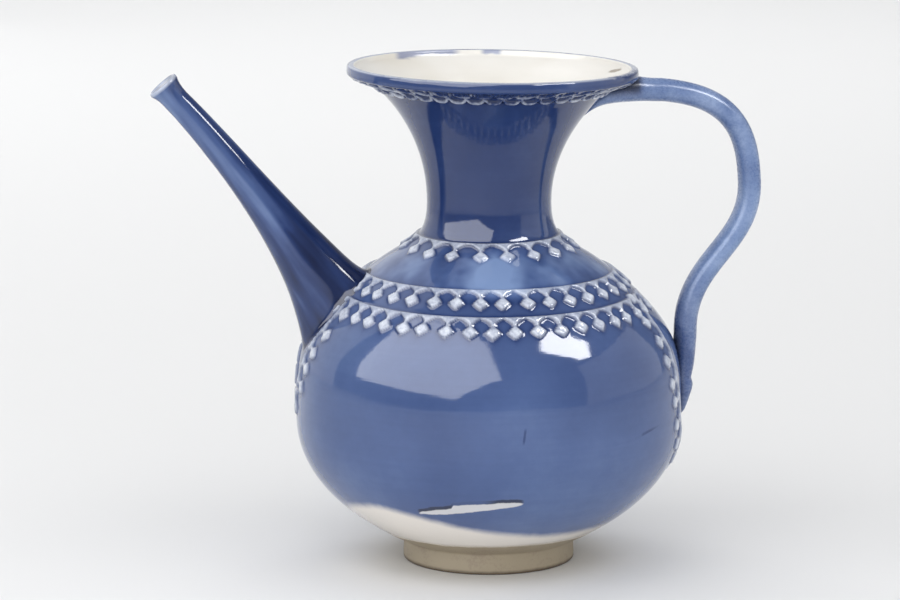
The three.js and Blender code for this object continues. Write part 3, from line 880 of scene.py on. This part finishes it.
# Pooled glaze and painted shade: the handle darkens close to the wall, most at its foot on the belly
handle_pool_and_shade = np.exp(-np.clip(handle_off, 0, None) / crevice_reach)
handle_pool_and_shade *= (handle_height < HANDLE_FOOT_HEIGHT) | (handle_height > HANDLE_TOP_HEIGHT)
from_axis = np.hypot(handle_spots[:, 0], handle_spots[:, 1])
# Painted shade on the handle just under the lip, where it leaves the wall
under_lip_shade = eased(-from_axis, -59.5, -56.0) * eased(handle_height, 176.0, 182.0)
handle_pool_and_shade = np.maximum(handle_pool_and_shade, UNDER_LIP_SHADE * under_lip_shade)
print("Spout and handle have their pools")

# %% Seams on the wall, and keep the masks
SPOUT_SEAM = 0.7
SPOUT_SEAM_REACH = 1.8
HANDLE_SEAM_HALF = 5.5
HANDLE_SEAM_REACH = 1.1
HANDLE_SEAM_FOOT = (52.0, 56.0)
HANDLE_SEAM_TOP = (84.0, 92.0)
root_reach = np.hypot((along - root_middle) / root_half,
                      turn_from(turn, math.pi) * wall_radius(along) / ROOT_HALF_WIDTH)
beside_spout = np.exp(-np.clip(root_reach - 1, 0, None) * ROOT_HALF_WIDTH / SPOUT_SEAM_REACH)
# Pooled glaze and painted shade on the wall beside the handle's lower root
off_handle = np.clip(np.abs(turn) * wall_radius(along) - HANDLE_SEAM_HALF, 0, None)
beside_handle = np.exp(-off_handle / HANDLE_SEAM_REACH)
beside_handle *= eased(along, *map(along_at, HANDLE_SEAM_FOOT))
beside_handle *= 1 - eased(along, *map(along_at, HANDLE_SEAM_TOP))
seam = np.maximum(SPOUT_SEAM * beside_spout, beside_handle) * on_outer
body_masks["pool"] = np.maximum(pool, seam * (1 - raised))
keep(ewer, body_masks)
ring_centres = np.array(spout_rings).mean(axis=1)
nearest = np.argmin(np.linalg.norm(spout_spots[:, None] - ring_centres[None], axis=2), axis=1)
above = (spout_spots - ring_centres[nearest]) @ np.array([MOUTH_ACROSS[0], 0, MOUTH_ACROSS[1]])
upper_side = eased(above, -3.0, 5.0)
keep(spout, {"relief": 0.0, "pool": spout_pool, "inside": in_bore,
             "crest": eased(-mouth_depth, -1.1, -0.5), "limb": 0.8 + 0.4 * upper_side})
keep(handle, {"relief": 0.0, "pool": handle_pool_and_shade, "inside": 0.0, "crest": 0.0, "limb": 2.0})
print("Masks kept on body, spout and handle")

# %% [markdown]
# Spout and handle were luted to the body before firing, so the three meshes are joined into one
# object. Curved faces are shaded smooth.

# %% Join
bare_start()
for piece in (spout, handle, ewer):
    piece.select_set(True)
bpy.context.view_layer.objects.active = ewer
bpy.ops.object.join()
bpy.ops.object.shade_smooth()
triangles = sum(len(p.vertices) - 2 for p in ewer.data.polygons)
print("Ewer has", triangles, "triangles")

# %% [markdown]
# ## Shader sums
# Glaze is mostly sums over a few masks. A small class lets them be written as plain sums, and one
# method makes every other node.

# %% Shader helpers
class Signal:
    """A socket that can be added, multiplied and so on; each operator adds a Math node."""

    def __init__(self, finish, socket):
        self.finish = finish
        self.socket = socket

    def math(self, operation, *others):
        """A Math node on this signal and others."""
        return self.finish.node("ShaderNodeMath", {"operation": operation},
                                dict(enumerate((self,) + others)))

    def __add__(self, other):
        return self.math("ADD", other)

    def __radd__(self, other):
        return self.math("ADD", other)

    def __mul__(self, other):
        return self.math("MULTIPLY", other)

    def __rmul__(self, other):
        return self.math("MULTIPLY", other)

    def __sub__(self, other):
        return self.math("SUBTRACT", other)

    def __rsub__(self, other):
        return self.finish.node("ShaderNodeMath", {"operation": "SUBTRACT"}, {0: other, 1: self})

    def __truediv__(self, other):
        return self.math("DIVIDE", other)


class Finish:
    """A material under way."""

    def __init__(self, name):
        self.material = bpy.data.materials.new(name)
        self.material.use_nodes = True
        self.tree = self.material.node_tree
        self.tree.nodes.clear()

    def node(self, kind, settings=None, sockets=None, output=0):
        """Any node: its settings, or a ramp's stops, and then the values or links of its sockets."""
        made = self.tree.nodes.new(kind)
        for key, value in (settings or {}).items():
            if key == "stops":
                for place, _ in value[1:-1]:
                    made.color_ramp.elements.new(place)
                for stop, (place, colour) in zip(made.color_ramp.elements, value):
                    stop.position = place
                    stop.color = colour
            else:
                setattr(made, key, value)
        for key, value in (sockets or {}).items():
            if isinstance(value, Signal):
                self.tree.links.new(value.socket, made.inputs[key])
            else:
                made.inputs[key].default_value = value
        return Signal(self, made.outputs[output]) if made.outputs else None

    def mask(self, value, low, high):
        """0 at low, 1 at high, eased between."""
        return self.node("ShaderNodeMapRange", {"interpolation_type": "SMOOTHSTEP"},
                         {"Value": value, "From Min": low, "From Max": high})

    def bell(self, value, middle, width):
        """1 at the middle, falling away on both sides of it."""
        away = (value - middle) / width
        return (away * away * -1.0).math("EXPONENT")

    def mix(self, share, first, second):
        """Two colours mixed. On this node they are sockets 6 and 7, and come out at 2."""
        return self.node("ShaderNodeMix", {"data_type": "RGBA"}, {0: share, 6: first, 7: second}, 2)

    def cloud(self, vector, scale, detail=2.0, roughness=0.5):
        """A soft cloudy pattern, about 1 / scale metres from cloud to cloud."""
        return self.node("ShaderNodeTexNoise", None, {
            "Vector": vector, "Scale": scale, "Detail": detail, "Roughness": roughness})

    def own(self, name):
        """A mask kept with the mesh, which comes out at 2."""
        return self.node("ShaderNodeAttribute", {"attribute_name": name}, None, 2)


def sway(cloud, amount):
    """A cloud's swing about its middle, in the unit of what it moves."""
    return (cloud - 0.5) * amount


print("Shader helpers ready")

# %% [markdown]
# ## The glaze
# Cobalt blue glaze over a white body. It is thin and pale where it runs off the edges of the
# relief, and pools dark round its foot. It stops in a wavy edge low on the belly. Below that the
# body has clear glaze over white, and the foot ring is bare.

# %% Positions that the glaze reads
glaze = Finish("blue_glaze")
OBJECT_OUTPUT = 3
spot = glaze.node("ShaderNodeTexCoord", None, None, OBJECT_OUTPUT)
parts = glaze.node("ShaderNodeSeparateXYZ", None, {"Vector": spot})
x, y, z = (Signal(glaze, part) / MM for part in parts.socket.node.outputs)
x = x - AXIS_X
turn_degrees = glaze.node("ShaderNodeMath", {"operation": "ARCTAN2"}, {0: y, 1: x}) * (180 / math.pi)
print("Glaze reads the pot's own coordinates")

# %% Clouds in the glaze
def stretched(scale):
    """The pot's coordinates, squeezed, for patterns that run along a direction."""
    return glaze.node("ShaderNodeMapping", None, {"Vector": spot, "Scale": scale})


relief_mask = glaze.own("relief")
# Pool mask: pooled glaze, and on the handle also painted shade in its creases
pool_and_shade_mask = glaze.own("pool")
inside_mask = glaze.own("inside")
crest_mask = glaze.own("crest")
limb = glaze.own("limb")
on_spout = glaze.mask(limb, 0.4, 0.6) - glaze.mask(limb, 1.4, 1.6)
spout_top = glaze.mask(limb, 0.8, 1.2) * on_spout
on_handle = glaze.mask(limb, 1.4, 1.6)
drift = glaze.cloud(spot, 22.0, 2.0, 0.5)
mottle = glaze.cloud(spot, 260.0, 3.0, 0.6)
speckle = glaze.cloud(spot, 900.0, 2.0, 0.6)
veil = glaze.cloud(spot, 9.0, 1.0, 0.5)
blotch = glaze.cloud(spot, 95.0, 3.0, 0.55)
wheel = glaze.cloud(stretched((0.05, 0.05, 1)), 380.0, 2.0, 0.6)
SPOUT_LEAN = math.radians(52)
STREAK_STRETCH = 9
spout_turned = glaze.node("ShaderNodeMapping", {"vector_type": "TEXTURE"}, {
    "Vector": spot, "Rotation": (0, SPOUT_LEAN, 0), "Scale": (STREAK_STRETCH, 1, 1)})
along_spout = glaze.cloud(spout_turned, 170.0, 2.0, 0.5)
print("Clouds made")

# %% Where each glaze lies
GLAZE_EDGE = 17.6
GLAZE_LOBE = 12.0
LOBE_TURN = -137.0
LOBE_WIDTH = 38.0
BARE_EDGE = (12.6, 14.4)

lobe = glaze.bell(turn_degrees, LOBE_TURN, LOBE_WIDTH) * GLAZE_LOBE
edge = lobe + GLAZE_EDGE + sway(drift, 5.0) + sway(mottle, 1.0)
blue = glaze.mask(z - edge, -1.9, 2.1)
bare = 1 - glaze.mask(z - sway(drift, 2.4) - sway(mottle, 1.2), *BARE_EDGE)
print("Glaze edge at", GLAZE_EDGE, "to", GLAZE_EDGE + GLAZE_LOBE, "mm")

# %% The long miss in the glaze, in two steps
MISS_TURN = -121.5
MISS_LENGTH = 35.0
MISS_HEIGHT = 30.0
THIN_HALF = 1.9
THICK_HALF = 2.3
END_ROUNDNESS = 0.3

along_miss = (turn_degrees - MISS_TURN) / MISS_LENGTH
within_miss = glaze.mask(along_miss, -0.01, 0.03) - glaze.mask(along_miss, 0.97, 1.01)
step = glaze.mask(along_miss, 0.34, 0.37)
miss_middle = along_miss * (6.4 - along_miss * 1.6) + MISS_HEIGHT + step * 0.7
thin_end = along_miss.math("MAXIMUM", 0.0).math("POWER", END_ROUNDNESS) * THIN_HALF
thick_end = (1 - along_miss).math("MAXIMUM", 0.0).math("POWER", END_ROUNDNESS) * THICK_HALF
miss_half = thin_end * (1 - step) + thick_end * step
off_miss = z - miss_middle + sway(mottle, 0.9)
miss = glaze.mask(miss_half - off_miss.math("ABSOLUTE"), -0.05, 0.45) * within_miss
rim_reach = miss_half + 0.7 - (off_miss - 0.8).math("ABSOLUTE")
plain_rim = step * (1 - glaze.mask(along_miss, 0.62, 0.78)) * 0.85
miss_rim = glaze.mask(rim_reach, 0.0, 0.5) * within_miss * (1 - plain_rim)
print("Miss from", MISS_TURN, "to", MISS_TURN + MISS_LENGTH, "degrees")

# %% How thick the blue is, with painted light on the spout side and painted shade in the handle's creases
BASE_TONE = 0.565
NECK_START = (122.0, 132.0)
SHOULDER_FOOT = (108.0, 113.0)
SHOULDER_TOP = (119.0, 126.0)
PAINTED_LIGHT_SPAN = (-25.0, -62.0)
HANDLE_PALING = (92.0, 116.0)
SPOUT_PALING = (118.0, 172.0)

on_body = 1 - glaze.mask(limb, 0.4, 0.6)
neck = glaze.mask(z, *NECK_START) * on_body
shoulder = glaze.mask(z, *SHOULDER_FOOT) * (1 - glaze.mask(z, *SHOULDER_TOP)) * on_body
shoulder_streaks = glaze.cloud(stretched((1, 1, 0.10)), 75.0, 2.0, 0.55)
pale_run = glaze.bell(turn_degrees, -92.0, 17.0) * 0.5
# Painted light: the body's spout side, which faces the big lamp on the left, is made paler
painted_side_light = glaze.mask(x, *PAINTED_LIGHT_SPAN) * on_body
tone = sway(drift, 0.30) + sway(veil, 0.42) + BASE_TONE + sway(mottle, 0.06)
tone = tone + painted_side_light * 0.11
tone = tone + sway(wheel, 0.05) * on_body
tone = tone - neck * 0.14 + shoulder * (sway(shoulder_streaks, 0.9) + 0.10 + pale_run)
handle_foot = glaze.mask(z, *reversed(HANDLE_PALING))
tone = tone + on_handle * (sway(blotch, 0.45) + 0.29 - handle_foot * 0.16)
tone = tone + on_spout * (sway(along_spout, 1.0) + glaze.mask(z, *SPOUT_PALING) * 0.26 - 0.18)
# Pooled glaze darkens the blue; round the handle this also paints shade in the creases
tone = tone - spout_top * 0.20 - pool_and_shade_mask * 0.38
print("Thickness worked out")

# %% Scratches and spots
SCRATCH_END = 2.0


def scratch(turn_middle, turn_slope, low, high, width):
    """A short scratch between two heights, whose turn in degrees moves with the height."""
    middle = (z - low) * turn_slope + turn_middle
    across = (turn_degrees - middle).math("ABSOLUTE")
    ended = 1 - glaze.mask(z, high - SCRATCH_END, high)
    return glaze.mask(across, width, width * 0.3) * glaze.mask(z, low, low + SCRATCH_END) * ended


def spot_at(places, radius):
    """A round spot round a place on the pot, in mm."""
    away_x, away_y, away_z = (part - place for part, place in zip((x, y, z), places))
    span_squared = away_x * away_x + away_y * away_y + away_z * away_z
    ragged = span_squared.math("SQRT") + sway(mottle, radius)
    return glaze.mask(ragged, radius, radius * 0.6)


SPOUT_SPOT = (-98.9, 1.0, 151.6)
marks = scratch(-87.6, 0.10, 58.5, 65.5, 0.5) * 0.5
marks = marks + scratch(-57.0, 4.6, 55.2, 59.6, 4.0) * glaze.mask(blotch, 0.35, 0.6) * 0.55
marks = marks + spot_at(SPOUT_SPOT, 1.7) * on_spout
tone = tone - marks * 0.45
print("Scratches and spots placed")

# %% Glaze colours
WHITE_GLAZE = (0.80, 0.755, 0.70, 1)
MISSED_GLAZE = (0.60, 0.60, 0.62, 1)
CREAM = (0.76, 0.74, 0.70, 1)
AGED_CREAM = (0.62, 0.575, 0.49, 1)
PALE = (0.70, 0.74, 0.82, 1)
BARE_CLAY = (0.35, 0.295, 0.21, 1)
STAINED_CLAY = (0.27, 0.215, 0.165, 1)
# Brown for a stain on the spout, and for painted contact shadow at the foot's bottom edge
STAIN_AND_SHADOW_BROWN = (0.075, 0.05, 0.03, 1)
MISS_EDGE = (0.018, 0.022, 0.045, 1)
CREVICE_SHADE_AND_POOL = (0.012, 0.013, 0.022, 1)
# From the thickest blue, which is darkest, to the thinnest
BLUES = [(0.0, (0.006, 0.012, 0.048, 1)), (0.36, (0.020, 0.041, 0.135, 1)),
         (0.62, (0.067, 0.110, 0.258, 1)), (1.0, (0.20, 0.29, 0.50, 1))]
depth = glaze.node("ShaderNodeValToRGB", {"stops": BLUES}, {"Fac": tone})
print("Colours chosen")

# %% Pale relief and worn edges
LEAVES_FROM = (174.0, 178.0)

pale_share = relief_mask * (mottle * 1.2 + sway(veil, 0.8) + 0.24 + sway(speckle, 0.7))
faint_leaf = glaze.mask(blotch, 0.60, 0.44) * 0.40 + glaze.bell(turn_degrees, -97.0, 34.0) * 0.22
pale_share = pale_share - glaze.mask(z, *LEAVES_FROM) * on_body * faint_leaf
pale_handle = on_handle * glaze.mask(blotch + sway(mottle, 0.1), 0.35, 0.8) * 0.12
pale_share = pale_share.math("MAXIMUM", 0.0) + pale_handle
motif = glaze.mix(pale_share.math("MINIMUM", 1.0), depth, PALE)
worn_crest = crest_mask * glaze.mask(drift + sway(mottle, 0.4) + on_spout * 0.3, 0.3, 0.5)
worn = glaze.mix(worn_crest * 0.5, motif, PALE)
print("Relief is pale and edges are worn")

# %% Outer colours, one over the other
missed = glaze.mix(miss_rim * 0.85, worn, MISS_EDGE)
missed = glaze.mix(miss, missed, MISSED_GLAZE)
# Painted shade: the handle's creases go near black, over the pooled glaze
missed = glaze.mix(pool_and_shade_mask.math("POWER", 2.0) * on_handle * 0.9, missed, CREVICE_SHADE_AND_POOL)
outer = glaze.mix(blue, WHITE_GLAZE, missed)
outer = glaze.mix(spot_at(SPOUT_SPOT, 1.3) * on_spout, outer, STAIN_AND_SHADOW_BROWN)
clay = glaze.mix(glaze.mask(blotch + sway(speckle, 0.8), 0.5, 0.8) * 0.6, BARE_CLAY, STAINED_CLAY)
# Painted contact shadow: the bare foot darkens to brown towards its bottom edge, where it stands on the
# table
clay = glaze.mix((1 - glaze.mask(z + sway(mottle, 0.8), 0.4, 1.9)) * 0.9, clay, STAIN_AND_SHADOW_BROWN)
outer = glaze.mix(bare, outer, clay)
print("Outer colours made")

# %% Inner colours
BRUSHED_BLUE = (0.12, 0.16, 0.32, 1)
MOUTH_BROWN = (0.20, 0.15, 0.10, 1)
MOUTH_SPOT = (50.0, 9.5, 185.2)
BRUSH_EDGE = (187.6, 188.8)


def stroke(first, last, soft):
    """A brush stroke between two turns in degrees, with soft ends."""
    started = glaze.mask(turn_degrees, first, first + soft)
    return started * (1 - glaze.mask(turn_degrees, last - soft, last))


brush = stroke(94.0, 129.0, 5.0) + stroke(76.0, 87.0, 3.0)
brush = brush * glaze.mask(z + sway(blotch, 3.0) + (mottle - 0.5), *BRUSH_EDGE)
cream = glaze.mix(glaze.mask(drift, 0.45, 0.75) * 0.6, CREAM, AGED_CREAM)
cream = glaze.mix(brush * 0.75, cream, BRUSHED_BLUE)
cream = glaze.mix(spot_at(MOUTH_SPOT, 3.4) * 0.8, cream, MOUTH_BROWN)
coloured = glaze.mix(inside_mask, outer, cream)
print("Inner colours made")

# %% Glaze shader
GLOSS = 0.05
bare_out = bare * (1 - inside_mask)
rough = bare_out * 0.6 + inside_mask * 0.16 + on_handle * 0.20 + GLOSS + speckle * 0.05 + miss * 0.3
ripple = glaze.node("ShaderNodeBump", None, {"Strength": 0.35, "Distance": 0.0012, "Height": drift})
thrown = glaze.node("ShaderNodeBump", None, {
    "Strength": 0.05, "Distance": 0.0006, "Height": wheel * on_body, "Normal": ripple})
pitted = glaze.node("ShaderNodeBump", None, {
    "Strength": 0.10, "Distance": 0.0004, "Height": mottle * (relief_mask * 2.0 + 0.6),
    "Normal": thrown})
shader = glaze.node("ShaderNodeBsdfPrincipled", None, {
    "Base Color": coloured, "Roughness": rough, "IOR": 1.5, "Normal": pitted})
glaze.node("ShaderNodeOutputMaterial", None, {"Surface": shader})
ewer.data.materials.clear()
ewer.data.materials.append(glaze.material)
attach(ewer, "root")
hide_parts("ewer")
print("Glaze on")

# %% [markdown]
# ## Studio
# A pale table that curves up behind the pot, and soft light. The belly mirrors a wide panel on
# the left and a smaller, brighter one on the right. Cards that only reflections see give both,
# and two dim ones stand at the sides.

# %% Sweep
SWEEP_SIZE = (16.0, 9.0, 1)
SWEEP_SHIFT = (0, -1.7, 0)
SWEEP_TOP = (0, 0, 2.5)
BEND_RADIUS = 0.9
BEND_STEP = 7.5
PAPER_WHITE = (0.72, 0.72, 0.72, 1)

bare_start()
bpy.ops.mesh.primitive_plane_add(size=1.0, location=(0, 0, 0))
sweep = bpy.context.object
sweep.name = "sweep"
bpy.ops.object.mode_set(mode="EDIT")
bpy.ops.transform.resize(value=SWEEP_SIZE)
bpy.ops.transform.translate(value=SWEEP_SHIFT)
edit = bmesh.from_edit_mesh(sweep.data)
bpy.ops.mesh.select_all(action="DESELECT")
bpy.ops.mesh.select_mode(type="EDGE")
for border in edit.edges:
    if all(v.co.y > 0 for v in border.verts):
        border.select_set(True)
bmesh.update_edit_mesh(sweep.data)
for bent in np.radians(np.arange(BEND_STEP, 91, BEND_STEP)):
    before = bent - math.radians(BEND_STEP)
    step = (0, BEND_RADIUS * (math.sin(bent) - math.sin(before)),
            BEND_RADIUS * (math.cos(before) - math.cos(bent)))
    bpy.ops.mesh.extrude_region_move(TRANSFORM_OT_translate={"value": step})
bpy.ops.mesh.extrude_region_move(TRANSFORM_OT_translate={"value": SWEEP_TOP})
bpy.ops.mesh.select_all(action="SELECT")
bpy.ops.mesh.normals_make_consistent(inside=False)
bpy.ops.object.mode_set(mode="OBJECT")
bpy.ops.object.shade_smooth()
print("Sweep has", len(sweep.data.polygons), "faces")

# %% Paper of the sweep
paper = Finish("paper")
paper_shader = paper.node("ShaderNodeBsdfPrincipled", None, {
    "Base Color": PAPER_WHITE, "Roughness": 0.7})
paper.node("ShaderNodeOutputMaterial", None, {"Surface": paper_shader})
sweep.data.materials.append(paper.material)
print("Sweep stands behind the pot")

# %% Lights
AIM = Vector((0.0117, 0, 0.08))


def toward(aside, rise, distance):
    """A place seen from the pot, by degrees to the right of its front and degrees up."""
    aside = math.radians(aside)
    rise = math.radians(rise)
    return AIM + distance * Vector((math.sin(aside) * math.cos(rise),
                                    -math.cos(aside) * math.cos(rise), math.sin(rise)))


def lamp(name, place, aim, width, height, power):
    """A soft panel in metres and watts, which the glaze doesn't mirror."""
    data = bpy.data.lights.new(name, "AREA")
    data.shape = "RECTANGLE"
    data.size = width
    data.size_y = height
    data.energy = power
    made = bpy.data.objects.new(name, data)
    made.location = place
    made.rotation_euler = (aim - place).to_track_quat("-Z", "Y").to_euler()
    made.visible_glossy = False
    bpy.context.scene.collection.objects.link(made)


lamp("soft_left", toward(-48, 36, 1.4), AIM, 2.3, 1.7, 14)
lamp("soft_right", toward(55, 42, 1.6), AIM, 1.6, 1.3, 6.5)
lamp("soft_top", toward(0, 82, 1.9), AIM, 2.6, 2.0, 11.5)
lamp("front_fill", toward(10, 14, 2.2), AIM, 1.8, 0.9, 12)
lamp("backdrop_wash", Vector((0, 1.6, 1.9)), Vector((0, 2.2, 0)), 2.8, 0.8, 41)
print("Soft lamps set")

# %% Cards
def card(name, corners, distance, strength):
    """A glowing sheet whose corners are given by turn and rise, seen from the pot."""
    mesh = bpy.data.meshes.new(name)
    mesh.from_pydata([toward(a, b, distance) for a, b in corners], [], [tuple(range(len(corners)))])
    sheet = bpy.data.objects.new(name, mesh)
    bpy.context.scene.collection.objects.link(sheet)
    glow = Finish(name)
    glow_shader = glow.node("ShaderNodeEmission", None, {"Color": (1, 1, 1, 1), "Strength": strength})
    glow.node("ShaderNodeOutputMaterial", None, {"Surface": glow_shader})
    mesh.materials.append(glow.material)
    sheet.visible_camera = False
    sheet.visible_diffuse = False
    sheet.visible_shadow = False


card("big_card", [(-104, 57), (-93, 8), (-27, 4), (0, 24), (-8, 64)], 1.35, 5.0)
card("bright_card", [(37, 53), (56, 65), (77, 46), (67, 35.5), (57, 36)], 1.6, 20.0)
card("right_card", [(52, -2), (118, -2), (118, 30), (52, 30)], 2.2, 1.0)
card("left_card", [(-112, -6), (-175, -6), (-175, 65), (-112, 65)], 2.0, 1.1)

# The light of the room around
ROOM_COLOUR = (0.95, 0.97, 1.0, 1)
ROOM_STRENGTH = 0.29
world = bpy.data.worlds.new("studio")
world.use_nodes = True
room = world.node_tree.nodes["Background"]
room.inputs["Color"].default_value = ROOM_COLOUR
room.inputs["Strength"].default_value = ROOM_STRENGTH
bpy.context.scene.world = world
bpy.context.scene.view_settings.view_transform = "Standard"
print("Cards and world set")
